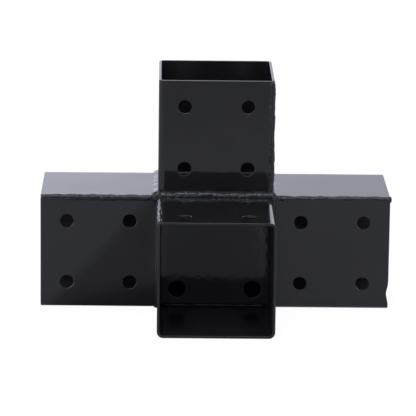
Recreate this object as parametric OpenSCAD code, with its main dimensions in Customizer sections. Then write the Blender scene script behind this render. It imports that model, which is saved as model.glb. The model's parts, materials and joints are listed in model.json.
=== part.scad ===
// Four-way post connector, welded from folded sheet steel.
// Four square sleeves stand on a cube-shaped hub and point left, right, up and forwards.
// +X points along the right sleeve, -Y along the front sleeve and +Z along the upper sleeve.
// The origin is the middle of the hub's underside, on the surface that the connector stands on.

/* [Post] */
// Width of the square post that each sleeve takes
post_w = 90; // [72:1:140]
// Clearance between the post and each wall of a sleeve
post_gap = 0.5; // [0:0.1:2]

/* [Sheet] */
// Thickness of the coated sheet
sheet_t = 2.2; // [1.6:0.1:3]
// Inside radius of the folds
fold_r = 3; // [2:0.5:6]
// Opening at the root of each welded corner
root_gap = 0.4; // [0.2:0.1:0.8]

/* [Sleeves] */
// Depth of each sleeve, from the hub to its open end
sleeve_l = 97; // [90:1:180]

/* [Nick] */
// Height of the nick in the end of the right sleeve, from the underside to its middle
nick_z = 13.5; // [13:0.5:30]
// Width of the nick
nick_w = 13; // [8:0.5:15]
// Depth of the nick
nick_depth = 1.7; // [0.8:0.1:2.5]

/* [Bolt holes] */
// Diameter of the bolt holes
bolt_d = 11; // [6:0.5:14]
// Distance between neighbouring bolt holes
bolt_pitch = 52; // [30:1:56]
// Distance from a sleeve's open end to its first row of bolt holes
bolt_margin = 22; // [14:1:28]

/* [Drain holes] */
// Diameter of the drain holes in the walls of the hub
drain_d = 14; // [8:1:18]
// Distance from the inside of a sleeve's wall to the middle of a drain hole
drain_inset = 14; // [12:1:24]

/* [Welds] */
// Radius of the bead along the welded corner of a sleeve
seam_r = 3.2; // [3:0.1:4]
// Radius of the beads in the inner corners beside the upper and front sleeves
side_bead_r = 4.5; // [3.5:0.1:5]
// Radius of the bead between the upper sleeve and the front sleeve
cross_bead_r = 5.3; // [4:0.1:6]
// Height of the low beads on the back face
crown_h = 0.8; // [0.5:0.1:1.2]
// Length of one ripple of a bead
ripple_l = 8; // [6:0.5:12]
// How far the bead of the right sleeve runs out past the open end
tip_l = 1.5; // [0.5:0.1:3]
// Depth of the ripples
ripple_h = 0.3; // [0.1:0.05:0.5]

/* [Hidden] */
$fn = 48;

coat = "#26272b";
weld_coat = "#35363b";

// Inside and outside widths of a sleeve and of the hub
inner_w = post_w + 2 * post_gap;
outer_w = inner_w + 2 * sheet_t;
half_w = outer_w / 2;
// Outside radius of a fold
outer_r = fold_r + sheet_t;
// Distance from a welded corner to the edge of each sheet that ends there
corner_cut = sheet_t + root_gap;
// Middle of a sleeve's bolt holes, from the hub
bolt_mid = sleeve_l - bolt_margin - bolt_pitch / 2;
// Distance between neighbouring drain holes
drain_pitch = inner_w - 2 * drain_inset;
// A low bead spans the groove over a fold, so its circle lies this deep under the face
groove_half = outer_r / 2;
crown_depth = (groove_half * groove_half - crown_h * crown_h) / (2 * crown_h);
crown_r = crown_depth + crown_h;
// Radius of the shallow arc that the nick is cut with
nick_r = (nick_w * nick_w / 4 + nick_depth * nick_depth) / (2 * nick_depth);
// Balls where beads meet hold the ends of the beads and of the open corners
knot_reach = 1.1;
knot_r = norm([max(side_bead_r, cross_bead_r), knot_reach * corner_cut]);
// Balls on the back face are larger than the low beads by this share
crown_swell = 1.02;
crown_knot_r = crown_swell * crown_r;
// Spare length and depth of cutting shapes
over = 1;
// Thickness left where the fill under the front sleeve thins out along the hub's fold
thin_edge = 0.15;

// Sheet sections

// One fold in a corner of the section, with its centre at the origin
module fold_piece() {
    intersection() {
        difference() {
            circle(r = outer_r);
            circle(r = fold_r);
        }
        translate([-outer_r, -outer_r]) square(outer_r);
    }
}

// Square ring of sheet with three folds and one open corner, at +X +Y, for the weld
module sheet_section() {
    flat = outer_w - 2 * outer_r;
    to_cut = outer_w - outer_r - corner_cut;
    translate([-half_w + outer_r, -half_w]) square([flat, sheet_t]);
    translate([-half_w, -half_w + outer_r]) square([sheet_t, flat]);
    translate([-half_w + outer_r, half_w - sheet_t]) square([to_cut, sheet_t]);
    translate([half_w - sheet_t, -half_w + outer_r]) square([sheet_t, to_cut]);
    for (turn = [0, 90, 270])
        rotate(turn) translate([outer_r - half_w, outer_r - half_w]) fold_piece();
}

// The outline of a sleeve or the hub with its inside and its welded corner filled
module solid_section() {
    flat = outer_w - 2 * outer_r;
    square([outer_w, flat], center = true);
    square([flat, outer_w], center = true);
    translate([half_w - 2 * outer_r, half_w - 2 * outer_r]) square(2 * outer_r);
    for (turn = [0, 90, 270])
        rotate(turn) translate([outer_r - half_w, outer_r - half_w]) circle(r = outer_r);
}

// The same with its corner open, for a bead that fills the corner
module filled_section() {
    difference() {
        solid_section();
        translate([half_w - corner_cut, half_w - sheet_t]) square(corner_cut + over);
        translate([half_w - sheet_t, half_w - corner_cut]) square(corner_cut + over);
    }
}

// The weld in an open corner, dressed flush with both faces
module flush_seam_section() {
    difference() {
        translate([half_w - corner_cut, half_w - corner_cut]) square(corner_cut);
        translate([half_w - corner_cut, half_w - corner_cut]) square(root_gap);
    }
}

// Places of the sleeves and the hub

// Each place turns a shape that stands on z = 0 with its open corner at +X +Y
module at_left() {
    translate([-half_w, 0, half_w]) rotate([0, -90, 0]) mirror([0, 1, 0]) children();
}

module at_right() {
    translate([half_w, 0, half_w]) rotate([0, 90, 0]) rotate([0, 0, 180]) children();
}

module at_top() {
    translate([0, 0, outer_w]) mirror([0, 1, 0]) children();
}

module at_front() {
    translate([0, -half_w, half_w]) rotate([90, 0, 0]) mirror([1, 0, 0]) children();
}

module at_hub() {
    translate([-half_w, 0, half_w]) rotate([0, 90, 0]) rotate([0, 0, 180]) children();
}

module four_holes(pitch, d, depth) {
    for (a = [-1, 1], b = [-1, 1])
        translate([a * pitch / 2, b * pitch / 2, -depth / 2]) cylinder(d = d, h = depth);
}

// Sheet pieces

// Square tube with bolt holes in its +Y wall only
module sleeve() {
    difference() {
        linear_extrude(sleeve_l) sheet_section();
        translate([0, half_w, bolt_mid])
            rotate([90, 0, 0]) four_holes(bolt_pitch, bolt_d, 2 * sheet_t + 2 * over);
    }
}

module hub_band() {
    color(coat) difference() {
        at_hub() linear_extrude(outer_w) sheet_section();
        translate([0, 0, outer_w])
            four_holes(drain_pitch, drain_d, 2 * sheet_t + 2 * over);
        translate([0, -half_w, half_w])
            rotate([90, 0, 0]) four_holes(drain_pitch, drain_d, 2 * sheet_t + 2 * over);
    }
}

// Square plate with clipped corners that sits inside the end of the hub band
module hub_plate() {
    edge = inner_w / 2;
    clip = edge - fold_r;
    difference() {
        linear_extrude(sheet_t) polygon([
            [edge, -clip], [edge, clip], [clip, edge], [-clip, edge],
            [-edge, clip], [-edge, -clip], [-clip, -edge], [clip, -edge]]);
        four_holes(drain_pitch, drain_d, 2 * sheet_t + 2 * over);
    }
}

module hub_left_plate() {
    color(coat) translate([-half_w, 0, half_w]) rotate([0, 90, 0]) hub_plate();
}

module hub_right_plate() {
    color(coat) translate([half_w, 0, half_w]) rotate([0, -90, 0]) hub_plate();
}

module upper_sleeve() {
    color(coat) at_top() sleeve();
}

module left_sleeve() {
    color(coat) at_left() sleeve();
}

module right_sleeve() {
    color(coat) difference() {
        at_right() sleeve();
        translate([half_w + sleeve_l + nick_r - nick_depth, -half_w - over, nick_z])
            rotate([-90, 0, 0]) cylinder(r = nick_r, h = sheet_t + 2 * over);
    }
}

module front_sleeve() {
    color(coat) at_front() sleeve();
}

// Weld metal

// Filled sleeves and hub, which no bead reaches into
module filled_left() {
    at_left() linear_extrude(sleeve_l) filled_section();
}

module filled_right() {
    at_right() linear_extrude(sleeve_l) filled_section();
}

module filled_top() {
    at_top() linear_extrude(sleeve_l) filled_section();
}

module filled_front() {
    at_front() linear_extrude(sleeve_l) filled_section();
}

module filled_hub() {
    at_hub() linear_extrude(outer_w) solid_section();
}

// Turns a three-quarter sweep so that it leaves out the quarter that the hub fills
module past_hub(side) {
    rotate([0, 0, side < 0 ? 90 : 180]) children();
}

// Round bead along +Z whose radius rises and falls once for each ripple
module bead(r, l, sweep = 360) {
    count = max(1, round(l / ripple_l));
    step = l / count;
    crest = 0.4;
    rotate_extrude(angle = sweep) polygon(concat(
        [[0, 0]],
        [for (i = [0 : count - 1], k = [0, 1])
            k == 0 ? [r - ripple_h, i * step] : [r, (i + crest) * step]],
        [[r - ripple_h, l], [0, l]]));
}

// Ball of weld in the inner corner where the beads beside and between the sleeves meet
module knot(side) {
    translate([side * half_w, -half_w, outer_w]) sphere(r = knot_r);
}

// Smooth outer bounds of the beads that run in the corners beside one side of the hub
module side_bead_bounds(side) {
    knot(side);
    translate([side * half_w, -half_w, outer_w])
        rotate([-90, 0, 0]) past_hub(side)
            rotate_extrude(angle = 270) square([side_bead_r, outer_w]);
    translate([side * half_w, -half_w, 0])
        past_hub(side) rotate_extrude(angle = 270) square([side_bead_r, outer_w]);
}

module cross_bead_bounds() {
    translate([-half_w, -half_w, outer_w])
        rotate([0, 90, 0]) cylinder(r = cross_bead_r, h = outer_w);
}

// Low beads on the back face, over the joint between a sleeve and the hub
module back_bead_bounds(side) {
    translate([side * half_w, half_w - crown_depth, 0]) {
        translate([0, 0, outer_r]) cylinder(r = crown_r, h = outer_w - outer_r - groove_half);
        translate([0, 0, outer_w - groove_half]) sphere(r = crown_knot_r);
    }
}

// Bead along the open corner of a sleeve, which fills it and stands proud of both faces
module seam(tip = 0) {
    difference() {
        translate([half_w - sheet_t, half_w - sheet_t, 0]) bead(seam_r, sleeve_l + tip);
        translate([0, 0, -over]) linear_extrude(sleeve_l + tip + 2 * over) filled_section();
    }
}

module upper_seam_weld() {
    color(weld_coat) difference() {
        at_top() seam();
        side_bead_bounds(1);
        cross_bead_bounds();
    }
}

module left_seam_weld() {
    color(weld_coat) difference() {
        at_left() seam();
        side_bead_bounds(-1);
    }
}

module right_seam_weld() {
    color(weld_coat) difference() {
        at_right() seam(tip_l);
        side_bead_bounds(1);
    }
}

module front_seam_weld() {
    color(weld_coat) difference() {
        at_front() seam();
        side_bead_bounds(-1);
        cross_bead_bounds();
    }
}

// Weld of the hub band's own corner, dressed flush because both sleeves cover it
module hub_seam_weld() {
    color(weld_coat) at_hub() linear_extrude(outer_w) flush_seam_section();
}

// Filled upper and front sleeves that reach a little into the hub, for clean cuts along its faces
module filled_top_root() {
    at_top() translate([0, 0, -over]) linear_extrude(sleeve_l) filled_section();
}

module filled_front_root() {
    at_front() translate([0, 0, -over]) linear_extrude(sleeve_l) filled_section();
}

// Beads in the corners beside one side of the hub, which start inside the ball
module top_side_bead(side) {
    inset = corner_cut / 2;
    difference() {
        translate([side * half_w, inset - half_w, outer_w])
            rotate([-90, 0, 0]) past_hub(side) bead(side_bead_r, outer_w - inset, 270);
        filled_top_root();
    }
}

module front_side_bead(side) {
    inset = corner_cut / 2;
    difference() {
        translate([side * half_w, -half_w, 0])
            past_hub(side) bead(side_bead_r, outer_w - inset, 270);
        filled_front_root();
    }
}

// Low bead on the back face, and the balls at its top and at the front corner
module back_bead_and_balls(side) {
    back_l = outer_w - outer_r - groove_half;
    difference() {
        union() {
            knot(side);
            translate([side * half_w, half_w - crown_depth, outer_r]) bead(crown_r, back_l);
            translate([side * half_w, half_w - crown_depth, outer_w - groove_half])
                sphere(r = crown_knot_r);
        }
        filled_top();
        filled_front();
        filled_hub();
    }
}

// Bead round three sides of one end of the hub: front corner, top corner and back face
module joint_weld(side) {
    difference() {
        union() {
            top_side_bead(side);
            front_side_bead(side);
            back_bead_and_balls(side);
        }
        if (side < 0) filled_left(); else filled_right();
    }
}

module left_joint_weld() {
    color(weld_coat) joint_weld(-1);
}

module right_joint_weld() {
    color(weld_coat) joint_weld(1);
}

// Bead in the corner between the upper sleeve and the front sleeve, which ends inside the balls.
// Its sweep leaves out the quarter that the hub fills.
module cross_weld() {
    inset = corner_cut / 2;
    color(weld_coat) difference() {
        translate([inset - half_w, -half_w, outer_w])
            rotate([0, 90, 0]) rotate([0, 0, 90]) bead(cross_bead_r, outer_w - 2 * inset, 270);
        filled_top_root();
        filled_front_root();
        for (side = [-1, 1])
            knot(side);
    }
}

// Low bead on the back face that fills the groove between the upper sleeve and the hub's fold
module back_weld() {
    color(weld_coat) difference() {
        translate([-half_w, half_w - crown_depth, outer_w - groove_half])
            rotate([0, 90, 0]) bead(crown_r, outer_w);
        filled_top();
        filled_hub();
        translate([-half_w - over, -half_w, outer_w - 2 * outer_r])
            cube([outer_w + 2 * over, outer_w - sheet_t, 4 * outer_r]);
        for (side = [-1, 1]) {
            side_bead_bounds(side);
            back_bead_bounds(side);
        }
    }
}

// Flush fill under the front sleeve, in the groove over the hub's lower front fold
module base_weld() {
    reach = sqrt(outer_r * outer_r - (outer_r - thin_edge) * (outer_r - thin_edge));
    color(weld_coat) difference() {
        translate([-half_w, -half_w, 0]) cube([outer_w, outer_r - reach, sheet_t]);
        filled_hub();
        for (side = [-1, 1])
            side_bead_bounds(side);
    }
}

hub_band();
hub_left_plate();
hub_right_plate();
upper_sleeve();
left_sleeve();
right_sleeve();
front_sleeve();
upper_seam_weld();
left_seam_weld();
right_seam_weld();
front_seam_weld();
hub_seam_weld();
left_joint_weld();
right_joint_weld();
cross_weld();
back_weld();
base_weld();
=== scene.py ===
"""Four-way post connector: folded steel sleeves welded to a hub, in gloss black powder coat."""
import json
import math

import bmesh
import bpy
import numpy as np
from mathutils import Matrix, Vector


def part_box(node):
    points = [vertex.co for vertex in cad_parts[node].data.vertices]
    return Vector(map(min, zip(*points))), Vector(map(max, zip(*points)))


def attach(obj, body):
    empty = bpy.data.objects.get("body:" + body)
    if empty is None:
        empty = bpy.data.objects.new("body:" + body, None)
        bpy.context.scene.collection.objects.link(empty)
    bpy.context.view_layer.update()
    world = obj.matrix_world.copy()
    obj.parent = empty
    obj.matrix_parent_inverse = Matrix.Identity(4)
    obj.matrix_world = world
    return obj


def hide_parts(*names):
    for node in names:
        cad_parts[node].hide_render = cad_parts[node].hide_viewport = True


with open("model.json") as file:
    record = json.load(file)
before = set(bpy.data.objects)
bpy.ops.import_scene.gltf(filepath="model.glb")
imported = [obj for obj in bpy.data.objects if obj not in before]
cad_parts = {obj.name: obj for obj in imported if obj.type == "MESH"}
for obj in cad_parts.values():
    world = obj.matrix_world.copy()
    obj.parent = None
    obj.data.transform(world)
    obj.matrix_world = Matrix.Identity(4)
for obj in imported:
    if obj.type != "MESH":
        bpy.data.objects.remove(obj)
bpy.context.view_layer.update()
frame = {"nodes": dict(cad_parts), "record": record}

MM = 0.001

# Camera, from the perspective of the photograph
IMAGE_PX = 416
FOCAL_PX = 3127.0
SENSOR_W = 36.0
VIEW_DISTANCE = 2.585
VIEW_DOWN = math.radians(12.88)
VIEW_TURN = math.radians(0.85)
VIEW_ROLL = math.radians(0.67)
VIEW_AIM = (-0.0062, -0.0498, 0.0860)
CLIP_END = 50

# Light: the tent's level at the back, from left to right, and its share overhead. A reach is how far the
# unit vector towards the sky goes in a direction.
TINT = (0.97, 0.99, 1.15)
BACK_LEVELS = (1.24, 0.92)
BACK_TURN = (-0.06, 0.08)
OVERHEAD = 0.72
OVERHEAD_REACH = (0.45, 0.85)
# The room round the camera, which is paler to the left of a slanting edge with this direction square to it
ROOM = 0.10
ROOM_REACH = (0.84, 0.95)
ROOM_EDGE = (-0.3638, 0.2315, 0.9022)
ROOM_BLUR = 0.002
ROOM_PALER = 0.42
# Short strips of light: how high they stand in front, half width, and how bright
STRIPS = ((math.radians(60), 0.09, 7.0), (math.radians(97), 0.09, 5.0))
STRIP_CORE = 0.5
STRIP_ENDS = (0.978, 0.992)
# Floor: its own paper, its glow as seen and as mirrored, and how much of the glow there is
FLOOR_R = 12.0
FLOOR_SIDES = 96
FLOOR_COLOUR = (0.86, 0.86, 0.86)
FLOOR_ROUGHNESS = 0.9
FLOOR_SPECULAR = 0.1
FLOOR_GLOW = 0.9
FLOOR_WHITE = 1.05
FLOOR_MIRRORED = 0.55
# In reflections the floor is shaded to the right of a line, as far as the front sleeve
SHADE_FROM = (-0.115, -0.165)
SHADE_TO = (-0.066, -0.43)
SHADE_BLUR = 0.008
SHADE = 0.52
# In reflections it is also darker in the nook beside the front sleeve, before its mouth, and far in front
NOOK_REACH = (0.04, 0.115)
NOOK_BLUR = 0.006
NOOK_SHADE = 0.85
MOUTH_REACH = (0.52, 0.42)
MOUTH_BLUR = 0.008
MOUTH_SHADE = 0.42
FAR_REACH = (0.5, 1.0)
FAR_SHARE = 0.62

# Sheet, as the blanks are cut and folded
SHEET_T = 2.2 * MM
FOLD_R = 5.2 * MM
CORNER_CUT = 2.6 * MM
LIP_R = 0.5 * MM
LIP_SUPPORT = 0.3 * MM
LIP_POINTS = 4
RING_COUNT = 4
PANEL_STEP = 5 * MM
FOLD_STEPS = 10
BLOCK_STEPS = 10
BLOCK_MARGIN = 6 * MM
SHEET_WAVE = 0.12 * MM
WAVE_L = 70 * MM
DRAIN_R = 7 * MM
DRAIN_INSET = 14 * MM
# How much rougher the coat is than on the outer faces: inside a tube, on its wall across from the seam
# where least powder reached, on cut edges, and where it ran into the inner corner
INNER_DULL = 0.14
THIN_DULL = 0.40
EDGE_DULL = 0.06
FILLET_DULL = 0.18
# Nick in the open end of the right sleeve: height over the floor, half width, depth, and how far it fades
NICK_Z = 13.5 * MM
NICK_W = 5.5 * MM
NICK_DEPTH = 1.7 * MM
NICK_FADE = 9 * MM

# Welds: radius of each bead and ball, and its relief, which is how far its surface falls back at most
SEAM_R = 3.2 * MM
SEAM_RELIEF = 0.8 * MM
FRONT_SEAM_RELIEF = 1.3 * MM
SIDE_R = 4.4 * MM
SIDE_RELIEF = 0.6 * MM
SIDE_PRESS = (1, 1, 0.42)
FRONT_SIDE_R = 2.9 * MM
FRONT_SIDE_RELIEF = 0.5 * MM
CROSS_R = 5.3 * MM
CROSS_RELIEF = 1.2 * MM
KNOT_R = 6.0 * MM
RIGHT_KNOT_R = 4.8 * MM
KNOT_RELIEF = 1.5 * MM
CROWN_R = 4.6 * MM
CROWN_RELIEF = 0.4 * MM
CROWN_DEPTH = 3.8 * MM
CROWN_KNOT_RELIEF = 0.3 * MM
GROOVE_HALF = 2.6 * MM
# How long the rounding is at a bead's blunt end, at the crater of a seam, at the tip of the seam that
# sticks out of the right sleeve, where a side bead thins out at the back, and at the foot of the upright
# beads behind and in front
BLUNT_END = 0.5 * MM
CRATER_L = 2.6 * MM
TIP_END = 1.2 * MM
SIDE_END = 1.5 * MM
CROWN_END = 3 * MM
FOOT_END = 0.3 * MM
SEAM_TIP = 1.45 * MM
BEAD_STEP = 0.55 * MM
BEAD_SIDES = 32
KNOT_RINGS = 25
KNOT_SIDES = 40
# Weld skin: the size of its slow lumps and small pits, what share the lumps have, and the ripples, which
# wander along the bead, lag behind at its toes, and have their own share of the relief
LUMP_L = 13 * MM
PIT_L = 4 * MM
LUMP_SHARE = 0.72
LUMP_SPREAD = 1.6
RIPPLE_L = 2.6 * MM
RIPPLE_SHARE = 0.16
DRIFT = 0.8 * MM
DRIFT_L = 9 * MM
TOE_LAG = 1.6 * MM
# Weld metal lies no deeper than this under the outer face, where it would come through a wall. The nudge
# gives a point at the very middle a way out.
SINK = 1.4 * MM
NUDGE = 0.001 * MM
# Doubles closer than this are merged: in sheet, and in weld metal, where the ends of beads close to a point
SHEET_DOUBLES = 2e-6
WELD_DOUBLES = 2e-8
# Noise: how many waves it is made of, how their pitches spread, and the starts of its random draws. A
# bead's pits and its wandering ripples start this much further on.
LUMP_WAVES = 12
PITCH_SPREAD = (0.7, 1.4)
PIT_SEED = 50
DRIFT_SEED = 90
HUB_SEED = 9
SEAM_SEED = 10
JOINT_SEED = 30
CROSS_SEED = 44
BACK_SEED = 47
FILLET_SEED = 71

# Line of coat in the inner corner: its fullest radius, the share of that in the mean, and its lumps
FILLET_R = 1.1 * MM
FILLET_MEAN = 0.7
FILLET_LUMP_L = 14 * MM
FILLET_STEP = 2 * MM
FILLET_SIDES = 7
INSET = 0.1 * MM

# Powder coat: lumps per metre of its dimples, grain and swells, and of smudges and specks
COAT_SPECULAR = 0.45
DIMPLE_SCALE = 210
GRAIN_SCALE = 1300
GRAIN_SHARE = 0.12
SWELL_SCALE = 38
SMUDGE_SCALE = 22
SMUDGE_ROUGHNESS = 0.6
SMUDGE_LIMITS = (0.42, 0.68)
SMUDGE_LIFT = 0.35
SPECK_SCALE = 260
SPECK_LIMITS = (0.10, 0.04)
COATS = {
    "sheet_coat": {"dark": (0.0102, 0.0102, 0.0103), "pale": (0.017, 0.017, 0.018), "gloss": 0.05,
                   "dull": 0.10, "dimple": 1.0, "swell": 2.0, "relief": 0.02 * MM},
    "hub_coat": {"dark": (0.0102, 0.0102, 0.0103), "pale": (0.017, 0.017, 0.018), "gloss": 0.06,
                 "dull": 0.11, "dimple": 1.0, "swell": 2.0, "relief": 0.07 * MM},
    "weld_coat": {"dark": (0.011, 0.011, 0.0115), "pale": (0.02, 0.02, 0.021), "gloss": 0.08,
                  "dull": 0.16, "dimple": 2.0, "swell": 1.0, "relief": 0.05 * MM},
}
KEPT_NODES = {"hub_left_plate": "hub_coat", "hub_right_plate": "hub_coat",
              "hub_seam_weld": "weld_coat", "base_weld": "weld_coat"}

LOW, HIGH = (Vector(corner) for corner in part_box("upper_sleeve"))
OUTER_W = HIGH.x - LOW.x
HALF_W = OUTER_W / 2
SLEEVE_L = HIGH.z - LOW.z
MOUNTS = {mount["name"]: mount for mount in frame["record"]["mounts"]}


# Camera and light

def make_camera():
    """The camera looks along a line that is turned and tipped from +Y, then rolls about it."""
    turn = Matrix.Rotation(-VIEW_TURN, 3, "Z")
    forward = turn @ Vector((0, math.cos(VIEW_DOWN), -math.sin(VIEW_DOWN)))
    side = turn @ Vector((1, 0, 0))
    up = side.cross(forward)
    right = side * math.cos(VIEW_ROLL) + up * math.sin(VIEW_ROLL)
    top = up * math.cos(VIEW_ROLL) - side * math.sin(VIEW_ROLL)
    data = bpy.data.cameras.new("camera")
    data.sensor_width = SENSOR_W
    data.lens = FOCAL_PX / IMAGE_PX * SENSOR_W
    data.clip_end = CLIP_END
    camera = bpy.data.objects.new("camera", data)
    bpy.context.scene.collection.objects.link(camera)
    spin = Matrix((right, top, -forward)).transposed()
    eye = Vector(VIEW_AIM) - forward * VIEW_DISTANCE
    camera.matrix_world = Matrix.Translation(eye) @ spin.to_4x4()
    bpy.context.scene.camera = camera


def make_math(tree, operation, first, second=0.0):
    """A Math node; each side is a socket or a number."""
    node = tree.nodes.new("ShaderNodeMath")
    node.operation = operation
    for socket, value in zip(node.inputs, (first, second)):
        if isinstance(value, (int, float)):
            socket.default_value = value
        else:
            tree.links.new(value, socket)
    return node.outputs[0]


def multiply(tree, *factors):
    """The product of sockets and numbers."""
    product = factors[0]
    for factor in factors[1:]:
        product = make_math(tree, "MULTIPLY", product, factor)
    return product


def add(tree, *parts):
    """The sum of sockets and numbers."""
    total = parts[0]
    for part in parts[1:]:
        total = make_math(tree, "ADD", total, part)
    return total


def rest_of(tree, share):
    """What a share leaves of one."""
    return make_math(tree, "SUBTRACT", 1.0, share)


def make_ramp(tree, value, from_low, from_high, to_low=0.0, to_high=1.0, kind="SMOOTHSTEP"):
    """A step from one value to another, smooth or straight."""
    node = tree.nodes.new("ShaderNodeMapRange")
    node.interpolation_type = kind
    for label, number in (("From Min", from_low), ("From Max", from_high),
                          ("To Min", to_low), ("To Max", to_high)):
        node.inputs[label].default_value = number
    tree.links.new(value, node.inputs["Value"])
    return node.outputs["Result"]


def make_dot(tree, vector, direction):
    """How far a vector reaches in a direction."""
    node = tree.nodes.new("ShaderNodeVectorMath")
    node.operation = "DOT_PRODUCT"
    node.inputs[1].default_value = direction
    tree.links.new(vector, node.inputs[0])
    return node.outputs["Value"]


def make_mix(tree, share, first, second):
    """A colour between two others."""
    node = tree.nodes.new("ShaderNodeMix")
    node.data_type = "RGBA"
    node.inputs["A"].default_value = first + (1,)
    node.inputs["B"].default_value = second + (1,)
    tree.links.new(share, node.inputs["Factor"])
    return node.outputs["Result"]


def make_strip(tree, facing, tilt, half_w, gain):
    """The brightness of a short strip of light that lies from side to side, at a tilt up from the front."""
    off = make_math(tree, "ABSOLUTE", make_dot(tree, facing, (0, math.sin(tilt), math.cos(tilt))))
    reach = make_dot(tree, facing, (0, -math.cos(tilt), math.sin(tilt)))
    return multiply(tree, make_ramp(tree, off, half_w, STRIP_CORE * half_w, 0.0, gain),
                    make_ramp(tree, reach, *STRIP_ENDS))


def make_sky():
    """A white tent in a darker room. It is palest low at the back left, dimmer overhead, dark round the
    camera, and has two short strips of light overhead."""
    world = bpy.data.worlds.new("tent")
    world.use_nodes = True
    tree = world.node_tree
    facing = tree.nodes.new("ShaderNodeTexCoord").outputs["Generated"]
    sideways = make_dot(tree, facing, (1, 0, 0))
    upwards = make_dot(tree, facing, (0, 0, 1))
    tent = multiply(tree, make_ramp(tree, sideways, *BACK_TURN, *BACK_LEVELS),
                    make_ramp(tree, upwards, *OVERHEAD_REACH, 1.0, OVERHEAD))
    paler = make_ramp(tree, make_dot(tree, facing, ROOM_EDGE), -ROOM_BLUR, ROOM_BLUR, 0.0, ROOM_PALER)
    front = make_ramp(tree, make_dot(tree, facing, (0, -1, 0)), *ROOM_REACH)
    level = add(tree, multiply(tree, tent, rest_of(tree, front)),
                multiply(tree, add(tree, paler, ROOM), front))
    for tilt, half_w, gain in STRIPS:
        level = add(tree, level, make_strip(tree, facing, tilt, half_w, gain))
    sky = tree.nodes["Background"]
    sky.inputs["Color"].default_value = TINT + (1,)
    tree.links.new(level, sky.inputs["Strength"])
    bpy.context.scene.world = world


def make_mirrored_floor(tree, place):
    """How bright the floor is in reflections: shaded to the right of a line as far as the front sleeve,
    in the nook beside that sleeve, before its mouth, and far in front."""
    sideways = make_dot(tree, place, (1, 0, 0))
    ahead = make_dot(tree, place, (0, -1, 0))
    (x0, y0), (x1, y1) = SHADE_FROM, SHADE_TO
    size = math.hypot(x1 - x0, y1 - y0)
    across = ((y0 - y1) / size, (x1 - x0) / size, 0)
    start = x0 * across[0] + y0 * across[1]
    offset = make_math(tree, "SUBTRACT", make_dot(tree, place, across), start)
    shade = multiply(tree, make_ramp(tree, offset, -SHADE_BLUR, SHADE_BLUR),
                     make_ramp(tree, sideways, -HALF_W, -HALF_W - NOOK_BLUR),
                     make_ramp(tree, ahead, 0.5 * HALF_W, HALF_W), SHADE)
    distance = tree.nodes.new("ShaderNodeVectorMath")
    distance.operation = "DISTANCE"
    distance.inputs[1].default_value = (-HALF_W, -HALF_W, 0)
    tree.links.new(place, distance.inputs[0])
    nook = make_ramp(tree, distance.outputs["Value"], *NOOK_REACH, 1 - NOOK_SHADE, 1.0)
    aside = make_math(tree, "ABSOLUTE", sideways)
    mouth = multiply(tree, make_ramp(tree, aside, HALF_W, HALF_W - MOUTH_BLUR),
                     make_ramp(tree, ahead, *MOUTH_REACH, 0.0, MOUTH_SHADE),
                     make_ramp(tree, ahead, HALF_W, 2 * HALF_W))
    far = make_ramp(tree, ahead, *FAR_REACH, 1.0, FAR_SHARE)
    return multiply(tree, rest_of(tree, shade), nook, far, rest_of(tree, mouth), FLOOR_MIRRORED)


def make_floor():
    """A pale round floor that looks evenly lit. What the object mirrors of it has a level of its own."""
    angle = np.linspace(0, 2 * np.pi, FLOOR_SIDES, endpoint=False)
    points = np.stack([FLOOR_R * np.cos(angle), FLOOR_R * np.sin(angle), np.zeros_like(angle)], axis=1)
    mesh = bpy.data.meshes.new("floor")
    mesh.from_pydata(points.tolist(), [], [list(range(FLOOR_SIDES))])
    floor = bpy.data.objects.new("floor", mesh)
    bpy.context.scene.collection.objects.link(floor)

    material = bpy.data.materials.new("floor_paper")
    material.use_nodes = True
    tree = material.node_tree
    paper = tree.nodes["Principled BSDF"]
    paper.inputs["Base Color"].default_value = FLOOR_COLOUR + (1,)
    paper.inputs["Roughness"].default_value = FLOOR_ROUGHNESS
    paper.inputs["Specular IOR Level"].default_value = FLOOR_SPECULAR
    path = tree.nodes.new("ShaderNodeLightPath")
    glossy = path.outputs["Is Glossy Ray"]
    seen = path.outputs["Is Camera Ray"]
    mirrored = make_mirrored_floor(tree, tree.nodes.new("ShaderNodeTexCoord").outputs["Object"])
    glow = tree.nodes.new("ShaderNodeEmission")
    tree.links.new(make_mix(tree, seen, TINT, (1, 1, 1)), glow.inputs["Color"])
    tree.links.new(add(tree, multiply(tree, glossy, mirrored), multiply(tree, seen, FLOOR_WHITE)),
                   glow.inputs["Strength"])
    mix = tree.nodes.new("ShaderNodeMixShader")
    tree.links.new(multiply(tree, make_math(tree, "MAXIMUM", glossy, seen), FLOOR_GLOW), mix.inputs["Fac"])
    tree.links.new(paper.outputs["BSDF"], mix.inputs[1])
    tree.links.new(glow.outputs["Emission"], mix.inputs[2])
    tree.links.new(mix.outputs["Shader"], tree.nodes["Material Output"].inputs["Surface"])
    mesh.materials.append(material)


# Noise and mesh helpers

def lumps(points, size, seed):
    """Smooth noise at points in space, of about one size and mostly from -2 to 2: the sum of sine waves
    in random directions, over the root of half their number."""
    draw = np.random.default_rng(seed)
    direction = draw.normal(size=(LUMP_WAVES, 3))
    direction /= np.linalg.norm(direction, axis=1, keepdims=True)
    pitch = size * draw.uniform(*PITCH_SPREAD, LUMP_WAVES)
    phase = draw.uniform(0, 2 * np.pi, LUMP_WAVES)
    wave = np.sin(2 * np.pi * (points @ direction.T) / pitch + phase)
    return wave.sum(axis=-1) / math.sqrt(LUMP_WAVES / 2)


def quads(rows, columns, wrap=False):
    """Corner numbers of the squares of a grid, row by row; wrap joins the last column to the first."""
    number = np.arange(rows * columns).reshape(rows, columns)
    if wrap:
        number = np.concatenate([number, number[:, :1]], axis=1)
    corners = [number[:-1, :-1], number[1:, :-1], number[1:, 1:], number[:-1, 1:]]
    return np.stack(corners, axis=-1).reshape(-1, 4)


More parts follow.
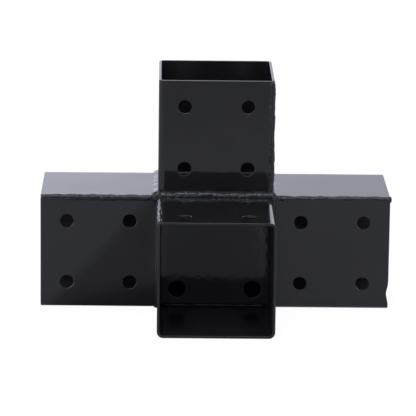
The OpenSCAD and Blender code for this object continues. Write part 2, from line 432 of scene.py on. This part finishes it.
def join(patches):
    """One list of points and one of squares from several (points, squares)."""
    points, squares, count = [], [], 0
    for place, corner in patches:
        points.append(place.reshape(-1, 3))
        squares.append(corner + count)
        count += len(points[-1])
    return np.concatenate(points), np.concatenate(squares)


def make_piece(name, points, faces, material, replaced, dull=None, doubles=SHEET_DOUBLES):
    """A closed mesh from points and faces: doubles merged, faces turned outwards, smooth shading. The
    "dull" attribute holds how much rougher the coat is at each point."""
    mesh = bpy.data.meshes.new(name)
    mesh.from_pydata(points.tolist(), [], faces)
    if dull is not None:
        layer = mesh.attributes.new("dull", "FLOAT", "POINT")
        layer.data.foreach_set("value", dull.astype(np.float32))
    work = bmesh.new()
    work.from_mesh(mesh)
    bmesh.ops.remove_doubles(work, verts=work.verts, dist=doubles)
    bmesh.ops.recalc_face_normals(work, faces=work.faces)
    work.to_mesh(mesh)
    work.free()
    mesh.shade_smooth()
    mesh.materials.append(material)
    piece = bpy.data.objects.new(name, mesh)
    bpy.context.scene.collection.objects.link(piece)
    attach(piece, "root")
    if replaced:
        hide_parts(*replaced)


# Folded sheet

# Where each tube stands: its own u, v and length directions, and the middle of its hub end
PLACES = {
    "upper": ((1, 0, 0), (0, -1, 0), (0, 0, 1), (0, 0, OUTER_W)),
    "left": ((0, 0, 1), (0, -1, 0), (-1, 0, 0), (-HALF_W, 0, HALF_W)),
    "right": ((0, 0, 1), (0, -1, 0), (1, 0, 0), (HALF_W, 0, HALF_W)),
    "front": ((-1, 0, 0), (0, 0, 1), (0, -1, 0), (0, -HALF_W, HALF_W)),
    "hub": ((0, 0, 1), (0, -1, 0), (1, 0, 0), (-HALF_W, 0, HALF_W)),
}
CORE = HALF_W - FOLD_R
FLAT = 2 * CORE
ARC = math.pi / 2 * FOLD_R
TO_SEAM = CORE + HALF_W - CORNER_CUT
# Digits after the point to which grid lines are rounded, in metres
DIGITS = 9
# Distance along the blank of each fold's start and end, with the blank's two ends
KNOTS = np.cumsum([0, TO_SEAM, ARC, FLAT, ARC, FLAT, ARC, TO_SEAM])
CORE_U = [HALF_W - CORNER_CUT, -CORE, -CORE, -CORE, -CORE, CORE, CORE, CORE]
CORE_V = [CORE, CORE, CORE, -CORE, -CORE, -CORE, -CORE, HALF_W - CORNER_CUT]
FACING = np.radians([90, 90, 180, 180, 270, 270, 360, 360])
# Middle of the panels at +v and +u along the blank
PANEL_MIDDLES = {"+v": HALF_W - CORNER_CUT, "+u": KNOTS[6] + CORE}


def fold(blank, place):
    """Takes points (distance along the blank, length, height over its outer face) to their folded place.

    The height is measured out from a square path with round corners: the path's core moves along the
    flats and stands still in the folds, where the facing direction turns by a quarter."""
    along, length, height = blank[..., 0], blank[..., 1], blank[..., 2]
    u_axis, v_axis, length_axis, origin = (np.array(value, float) for value in PLACES[place])
    facing = np.interp(along, KNOTS, FACING)
    reach = FOLD_R + height
    u = np.interp(along, KNOTS, CORE_U) + reach * np.cos(facing)
    v = np.interp(along, KNOTS, CORE_V) + reach * np.sin(facing)
    return origin + u[..., None] * u_axis + v[..., None] * v_axis + length[..., None] * length_axis


def hole_lines(centres, half, low, high):
    """Grid lines from low to high where each block round a hole has even steps of its own."""
    edges = sorted({low, high, low + LIP_SUPPORT, high - LIP_SUPPORT}
                   | {round(c + side * half, DIGITS) for c in centres for side in (-1, 1)})
    found = []
    for start, end in zip(edges, edges[1:]):
        inside = any(abs((start + end) / 2 - c) < half for c in centres)
        count = BLOCK_STEPS if inside else max(1, round((end - start) / PANEL_STEP))
        found.append(np.linspace(start, end, count, endpoint=False))
    return np.append(np.concatenate(found), edges[-1])


def ring_round_hole(along, length, centre, radius):
    """Points of the rings between a round hole and the square block round it, which slide from the
    block's edge to the circle along the line to the hole's middle, and the circle itself."""
    edge = np.concatenate([
        np.stack([along[:-1], np.full(len(along) - 1, length[0])], axis=1),
        np.stack([np.full(len(length) - 1, along[-1]), length[:-1]], axis=1),
        np.stack([along[:0:-1], np.full(len(along) - 1, length[-1])], axis=1),
        np.stack([np.full(len(length) - 1, along[0]), length[:0:-1]], axis=1)])
    offset = edge - centre
    circle = centre + offset / np.linalg.norm(offset, axis=1, keepdims=True) * radius
    near = centre + (circle - centre) * (1 + LIP_SUPPORT / radius)
    share = np.linspace(0, 1, RING_COUNT)[:, None, None]
    rings = near + (edge - near) * share
    return np.concatenate([circle[None], rings]), circle


def lip(loop, outward):
    """The rounded and coated edge of the sheet: from the outer face, round, across and round to the
    inner face. Both roundings are quarter circles of the lip's radius."""
    quarter = np.linspace(0, np.pi / 2, LIP_POINTS)
    out = LIP_R * np.concatenate([np.sin(quarter), np.sin(quarter[::-1])])
    drop = LIP_R * (1 - np.cos(quarter))
    height = np.concatenate([-drop, drop[::-1] - SHEET_T])
    plan = loop[None] + outward[None] * out[:, None, None]
    return np.concatenate([plan, np.broadcast_to(height[:, None, None], plan.shape[:2] + (1,))], axis=2)


def blank_lines(length, holes):
    """Grid lines over the blank in both directions: even steps in each panel and fold, and steps of
    their own in the blocks round the holes."""
    block = holes[0][2] + BLOCK_MARGIN
    plain = sorted({LIP_R, KNOTS[-1] - LIP_R, *KNOTS[1:-1]})
    along = {LIP_R + LIP_SUPPORT, KNOTS[-1] - LIP_R - LIP_SUPPORT}
    for start, end in zip(plain, plain[1:]):
        centres = sorted({hole[0] for hole in holes if start < hole[0] < end})
        if centres:
            along |= set(hole_lines(centres, block, start, end))
        else:
            steps = FOLD_STEPS if end - start < 2 * FOLD_R else round((end - start) / PANEL_STEP)
            along |= set(np.linspace(start, end, steps + 1))
    deep = hole_lines(sorted({hole[1] for hole in holes}), block, LIP_R, length - LIP_R)
    return tuple(np.unique(np.round(sorted(lines), DIGITS)) for lines in (along, deep))


def at_height(plan, height):
    """Points in space from points on the flat blank."""
    return np.concatenate([plan, np.full(plan.shape[:-1] + (1,), height)], axis=-1)


def flat_blank(length, holes):
    """The punched blank before it is folded: outer face, inner face and edges, as points, squares and
    how much duller than the outer face each point's coat is."""
    lines = blank_lines(length, holes)
    plan = np.stack(np.meshgrid(*lines, indexing="ij"), axis=-1)
    keep = np.ones((len(lines[0]) - 1, len(lines[1]) - 1), bool)
    loops, rings = [], []
    for *centre, radius in holes:
        half = radius + BLOCK_MARGIN
        # First and last grid line of the hole's block in each direction
        (a, b), (c, d) = ([int(np.argmin(abs(line - middle - side * half))) for side in (-1, 1)]
                          for line, middle in zip(lines, centre))
        keep[a:b, c:d] = False
        rim = radius + LIP_R
        ring, circle = ring_round_hole(lines[0][a:b + 1], lines[1][c:d + 1], np.array(centre), rim)
        rings.append(ring)
        loops.append((circle, (centre - circle) / rim))
    corners = quads(*plan.shape[:2]).reshape(*keep.shape, 4)[keep]

    border = np.concatenate([plan[:-1, 0], plan[-1, :-1], plan[:0:-1, -1], plan[0, :0:-1]])
    loops.append((border, (border == plan[-1, -1]).astype(float) - (border == plan[0, 0])))

    patches = []
    for height in (0.0, -SHEET_T):
        patches.append((at_height(plan, height), corners))
        patches += [(at_height(ring, height), quads(*ring.shape[:2], wrap=True)) for ring in rings]
    flat_count = sum(place.reshape(-1, 3).shape[0] for place, _ in patches)
    for loop, outward in loops:
        edge = lip(loop, outward)
        patches.append((edge, quads(*edge.shape[:2], wrap=True)))
    points, squares = join(patches)
    thin = (points[:, 0] > KNOTS[2]) & (points[:, 0] < KNOTS[3])
    inner = points[:, 2] < -0.5 * SHEET_T
    dull = np.where(inner, np.where(thin, THIN_DULL, INNER_DULL), 0.0)
    dull[flat_count:] = EDGE_DULL
    return points, squares, dull


def make_folded_tube(name, place, length, holes, material, seed, nick=None):
    """Folds the punched blank into a square tube and lets its panels sink by a soft, uneven wave.

    A nick in the open end is (middle along the blank, width, depth): a bell curve that pulls the end
    back, and fades out towards the bolt holes."""
    points, squares, dull = flat_blank(length, holes)
    flat = np.stack([points[:, 0], points[:, 1], np.zeros(len(points))], axis=1)
    points[:, 2] -= SHEET_WAVE * (0.5 + 0.5 * np.clip(lumps(flat, WAVE_L, seed) / 2, -1, 1))
    if nick:
        middle, width, depth = nick
        bell = np.exp(-(((points[:, 0] - middle) / width) ** 2))
        fade = np.clip(1 - (length - points[:, 1]) / NICK_FADE, 0, 1) ** 2
        points[:, 1] -= depth * bell * fade
    make_piece(name, fold(points, place), squares.tolist(), material, [name], dull)


def make_sheet_pieces(material, hub_material):
    """The four sleeves with their bolt holes, and the hub's band with its drain holes."""
    mount = MOUNTS["upper_bolts"]
    pitch = mount["dims"]["spacing_x_mm"] * MM
    radius = mount["dims"]["hole_r_mm"] * MM
    middle = mount["pos_m"][2] - OUTER_W
    bolts = [(PANEL_MIDDLES["+v"] + a * pitch / 2, middle + b * pitch / 2, radius)
             for a in (-1, 1) for b in (-1, 1)]
    nick = (TO_SEAM - (NICK_Z - FOLD_R), NICK_W, NICK_DEPTH)
    for seed, place in enumerate(("upper", "left", "right", "front")):
        make_folded_tube(place + "_sleeve", place, SLEEVE_L, bolts, material, seed,
                         nick if place == "right" else None)
    drain_half = HALF_W - SHEET_T - DRAIN_INSET
    drains = [(PANEL_MIDDLES[panel] + a * drain_half, HALF_W + b * drain_half, DRAIN_R)
              for panel in ("+v", "+u") for a in (-1, 1) for b in (-1, 1)]
    make_folded_tube("hub_band", "hub", OUTER_W, drains, hub_material, HUB_SEED)


# Welds

def stay_in_sheet(points):
    """Weld metal that would show inside a tube moves out into the tube's wall.

    The depth under the outer face is measured from a square path with round corners. A point deeper
    than the sink moves straight out, square to that path, until it lies at the sink."""
    points = points.copy()
    for place, (u_axis, v_axis, length_axis, origin) in PLACES.items():
        axes = np.array([u_axis, v_axis, length_axis], float)
        local = (points - origin) @ axes.T
        across = local[..., :2]
        over = abs(across) - CORE
        outside = np.maximum(over, 0)
        deep = over.max(axis=-1) <= 0
        nearest = over == over.max(axis=-1, keepdims=True)
        outside = np.where(deep[..., None] & nearest, NUDGE, outside)
        reach = np.linalg.norm(outside, axis=-1)
        depth = FOLD_R - np.where(deep, over.max(axis=-1), reach)
        length = OUTER_W if place == "hub" else SLEEVE_L
        inside = (local[..., 2] > 0) & (local[..., 2] < length) & (depth > SINK)
        base = np.where(outside > 0, CORE, abs(across))
        moved = base + outside / np.maximum(reach, NUDGE * MM)[..., None] * (FOLD_R - SINK)
        across = np.where(inside[..., None], np.sign(across) * moved, across)
        local = np.concatenate([across, local[..., 2:]], axis=-1)
        points = local @ axes + origin
    return points


def weld_skin(points, seed, relief):
    """How far weld metal falls back from its full size: slow lumps and smaller pits, both smooth noise."""
    slow = 0.5 + 0.5 * np.clip(lumps(points, LUMP_L, seed) / LUMP_SPREAD, -1, 1)
    quick = 0.5 + 0.5 * np.clip(lumps(points, PIT_L, seed + PIT_SEED) / LUMP_SPREAD, -1, 1)
    return relief * (LUMP_SHARE * slow + (1 - LUMP_SHARE) * quick)


def bead(start, end, side, radius, relief, seed, rounding=(BLUNT_END, BLUNT_END), press=(1, 1, 1)):
    """Round bead along a line: a circle carried from start to end. Its radius falls back by the weld
    skin and by a ripple, which is the absolute sine of the way along the bead, lagging behind towards its
    toes. It closes at both ends like an ellipse. The circle may be pressed flat: press scales x, y and z."""
    start, end = np.array(start, float), np.array(end, float)
    length = np.linalg.norm(end - start)
    run = (end - start) / length
    side = np.array(side, float) / np.linalg.norm(side)
    along = np.linspace(0, length, round(length / BEAD_STEP) + 1)
    angle = np.linspace(0, 2 * np.pi, BEAD_SIDES, endpoint=False)
    spoke = np.cos(angle)[:, None] * side + np.sin(angle)[:, None] * np.cross(run, side)
    line = start + along[:, None] * run
    rough = line[:, None] + radius * spoke
    drift = DRIFT * lumps(line, DRIFT_L, seed + DRIFT_SEED)[:, None]
    lag = TOE_LAG * (1 - np.cos(angle))
    ripple = 1 - abs(np.sin(np.pi * (along[:, None] + drift + lag) / RIPPLE_L))
    reach = radius - weld_skin(rough, seed, relief) - RIPPLE_SHARE * relief * ripple
    for distance, size in ((along, rounding[0]), (length - along, rounding[1])):
        reach = reach * np.sqrt(1 - (1 - np.clip(distance / size, 0, 1)) ** 2)[:, None]
    points = line[:, None] + reach[..., None] * spoke * np.array(press)
    return points, quads(len(along), BEAD_SIDES, wrap=True)


def knot(middle, radius, relief, seed):
    """Ball of weld metal whose radius falls back by the weld skin, on a grid of rings and spokes."""
    polar = np.linspace(0, np.pi, KNOT_RINGS)[:, None]
    angle = np.linspace(0, 2 * np.pi, KNOT_SIDES, endpoint=False)[None]
    spoke = np.stack(np.broadcast_arrays(np.sin(polar) * np.cos(angle), np.sin(polar) * np.sin(angle),
                                         np.cos(polar)), axis=-1)
    reach = radius - weld_skin(np.array(middle) + radius * spoke, seed, relief)
    return np.array(middle) + reach[..., None] * spoke, quads(KNOT_RINGS, KNOT_SIDES, wrap=True)


def make_weld(name, shells, material):
    """One piece of weld metal from its beads and balls, none of which shows inside a tube."""
    points, squares = join(shells)
    make_piece(name, stay_in_sheet(points), squares.tolist(), material, [name],
               doubles=WELD_DOUBLES)


def make_seams(material):
    """Beads along the open corners of the four sleeves, with a rounded crater at the open end."""
    for seed, place in enumerate(("upper", "left", "right", "front")):
        u_axis, v_axis, length_axis, origin = (np.array(value, float) for value in PLACES[place])
        root = origin + (HALF_W - SHEET_T) * (u_axis + v_axis)
        relief = FRONT_SEAM_RELIEF if place == "front" else SEAM_RELIEF
        tip, end_l = (SEAM_TIP, TIP_END) if place == "right" else (0, CRATER_L)
        shell = bead(root, root + (SLEEVE_L + tip) * length_axis, u_axis + v_axis, SEAM_R, relief,
                     SEAM_SEED + seed, (BLUNT_END, end_l))
        make_weld(place + "_seam_weld", [shell], material)


def make_joints(material):
    """Beads round both ends of the hub, between the upper and the front sleeve, and across the back."""
    back_y = HALF_W - CROWN_DEPTH
    groove_z = OUTER_W - GROOVE_HALF
    for name, side, knot_r in (("left_joint_weld", -1, KNOT_R), ("right_joint_weld", 1, RIGHT_KNOT_R)):
        x = side * HALF_W
        seed = JOINT_SEED + side
        corner = (x, -HALF_W, OUTER_W)
        make_weld(name, [
            knot(corner, knot_r, KNOT_RELIEF, seed),
            bead(corner, (x, HALF_W, OUTER_W), (side, 0, 1), SIDE_R, SIDE_RELIEF, seed + 2,
                 (BLUNT_END, SIDE_END), SIDE_PRESS),
            bead((x, -HALF_W, 0), corner, (side, -1, 0), FRONT_SIDE_R, FRONT_SIDE_RELIEF, seed + 4,
                 (FOOT_END, BLUNT_END)),
            bead((x, back_y, FOLD_R), (x, back_y, groove_z), (0, 1, 0), CROWN_R, CROWN_RELIEF, seed + 6,
                 (CROWN_END, BLUNT_END)),
            knot((x, back_y, groove_z), CROWN_R, CROWN_KNOT_RELIEF, seed + 8)], material)
    make_weld("cross_weld", [bead((-HALF_W, -HALF_W, OUTER_W), (HALF_W, -HALF_W, OUTER_W), (0, -1, 1),
                                  CROSS_R, CROSS_RELIEF, CROSS_SEED)], material)
    make_weld("back_weld", [bead((-HALF_W, back_y, groove_z), (HALF_W, back_y, groove_z), (0, 1, 0),
                                 CROWN_R, CROWN_RELIEF, BACK_SEED)], material)


def make_inner_fillet(material):
    """The coat that has run into the corner inside the front sleeve, where its lower wall meets the hub:
    a hollow quarter circle between wall and floor, carried from side to side, with a ragged size."""
    across = np.linspace(-CORE, CORE, round(2 * CORE / FILLET_STEP) + 1)
    floor_z, wall_y = SHEET_T - INSET, -HALF_W + INSET
    line = np.stack([across, np.full_like(across, wall_y), np.full_like(across, floor_z)], axis=1)
    ragged = np.clip(lumps(line, FILLET_LUMP_L, FILLET_SEED), -1, 1)[:, None]
    size = FILLET_R * (FILLET_MEAN + (1 - FILLET_MEAN) * ragged)
    angle = np.linspace(0, np.pi / 2, FILLET_SIDES)
    # From the root along the floor, up the hollow arc and back down the wall
    y = np.concatenate([np.zeros((len(across), 1)), -size * (1 - np.sin(angle))], axis=1)
    z = np.concatenate([np.zeros((len(across), 1)), size * (1 - np.cos(angle))], axis=1)
    points = np.stack([np.broadcast_to(across[:, None], y.shape), wall_y + y, floor_z + z], axis=-1)
    count = points.shape[1]
    caps = [[0, i, i + 1] for i in range(1, count - 1)]
    last = (len(across) - 1) * count
    faces = quads(len(across), count, wrap=True).tolist()
    faces += [face for a, b, c in caps for face in ([a, b, c], [last + a, last + c, last + b])]
    points = points.reshape(-1, 3)
    dull = np.full(len(points), FILLET_DULL)
    make_piece("inner_fillet", points, faces, material, [], dull)


# Materials

def new_group(name, inputs, outputs):
    """An empty node group with its sockets; inputs and outputs are {name: socket type}."""
    group = bpy.data.node_groups.new(name, "ShaderNodeTree")
    for side, sockets in (("INPUT", inputs), ("OUTPUT", outputs)):
        for label, kind in sockets.items():
            group.interface.new_socket(label, in_out=side, socket_type=kind)
    return group, group.nodes.new("NodeGroupInput").outputs, group.nodes.new("NodeGroupOutput").inputs


def make_noise(tree, vector, scale, detail, roughness=0.5):
    """Soft noise from 0 to 1; its scale is in lumps per metre."""
    noise = tree.nodes.new("ShaderNodeTexNoise")
    noise.inputs["Scale"].default_value = scale
    noise.inputs["Detail"].default_value = detail
    noise.inputs["Roughness"].default_value = roughness
    tree.links.new(vector, noise.inputs["Vector"])
    return noise.outputs["Fac"]


def make_orange_peel_group():
    """Height of the powder coat's flow: soft dimples, a finer grain, and long slow swells of the sheet."""
    group, given, put_out = new_group(
        "orange_peel",
        {"Vector": "NodeSocketVector", "Dimple": "NodeSocketFloat", "Swell": "NodeSocketFloat"},
        {"Height": "NodeSocketFloat"})
    dimple = multiply(group, make_noise(group, given["Vector"], DIMPLE_SCALE, 2), given["Dimple"])
    grain = multiply(group, make_noise(group, given["Vector"], GRAIN_SCALE, 1), GRAIN_SHARE)
    swell = multiply(group, make_noise(group, given["Vector"], SWELL_SCALE, 1), given["Swell"])
    group.links.new(add(group, dimple, grain, swell), put_out["Height"])
    return group


def make_handling_group():
    """Masks of a part that has been handled: soft smudges, and small specks of dust in the coat."""
    group, given, put_out = new_group(
        "handling", {"Vector": "NodeSocketVector"},
        {"Smudge": "NodeSocketFloat", "Speck": "NodeSocketFloat"})
    cloud = make_noise(group, given["Vector"], SMUDGE_SCALE, 4, SMUDGE_ROUGHNESS)
    group.links.new(make_ramp(group, cloud, *SMUDGE_LIMITS, kind="LINEAR"), put_out["Smudge"])
    cells = group.nodes.new("ShaderNodeTexVoronoi")
    cells.inputs["Scale"].default_value = SPECK_SCALE
    group.links.new(given["Vector"], cells.inputs["Vector"])
    speck = make_ramp(group, cells.outputs["Distance"], *SPECK_LIMITS, kind="LINEAR")
    group.links.new(speck, put_out["Speck"])
    return group


def make_coat(name, groups, dark, pale, gloss, dull, dimple, swell, relief):
    """Gloss black powder coat. Smudges and specks lift its colour from dark to pale, smudges lift its
    roughness from gloss to dull, and the "dull" attribute of a mesh adds to that."""
    material = bpy.data.materials.new(name)
    material.use_nodes = True
    tree = material.node_tree
    shader = tree.nodes["Principled BSDF"]
    shader.inputs["Specular IOR Level"].default_value = COAT_SPECULAR
    place = tree.nodes.new("ShaderNodeTexCoord").outputs["Object"]
    flow, marks = (tree.nodes.new("ShaderNodeGroup") for _ in groups)
    flow.node_tree, marks.node_tree = groups
    flow.inputs["Dimple"].default_value = dimple
    flow.inputs["Swell"].default_value = swell
    tree.links.new(place, flow.inputs["Vector"])
    tree.links.new(place, marks.inputs["Vector"])
    thin = tree.nodes.new("ShaderNodeAttribute")
    thin.attribute_name = "dull"

    lift = multiply(tree, marks.outputs["Smudge"], SMUDGE_LIFT)
    lift = make_math(tree, "MAXIMUM", lift, marks.outputs["Speck"])
    tree.links.new(make_mix(tree, lift, dark, pale), shader.inputs["Base Color"])
    smudged = multiply(tree, marks.outputs["Smudge"], dull - gloss)
    tree.links.new(add(tree, smudged, gloss, thin.outputs["Fac"]), shader.inputs["Roughness"])
    bump = tree.nodes.new("ShaderNodeBump")
    bump.inputs["Strength"].default_value = 1.0
    bump.inputs["Distance"].default_value = relief
    tree.links.new(flow.outputs["Height"], bump.inputs["Height"])
    tree.links.new(bump.outputs["Normal"], shader.inputs["Normal"])
    return material


bpy.context.scene.view_settings.view_transform = "Standard"
make_camera()
make_sky()
make_floor()
coat_groups = (make_orange_peel_group(), make_handling_group())
coats = {name: make_coat(name, coat_groups, **values) for name, values in COATS.items()}
make_sheet_pieces(coats["sheet_coat"], coats["hub_coat"])
make_seams(coats["weld_coat"])
make_joints(coats["weld_coat"])
make_inner_fillet(coats["weld_coat"])
for node_name, coat_name in KEPT_NODES.items():
    frame["nodes"][node_name].data.materials.clear()
    frame["nodes"][node_name].data.materials.append(coats[coat_name])
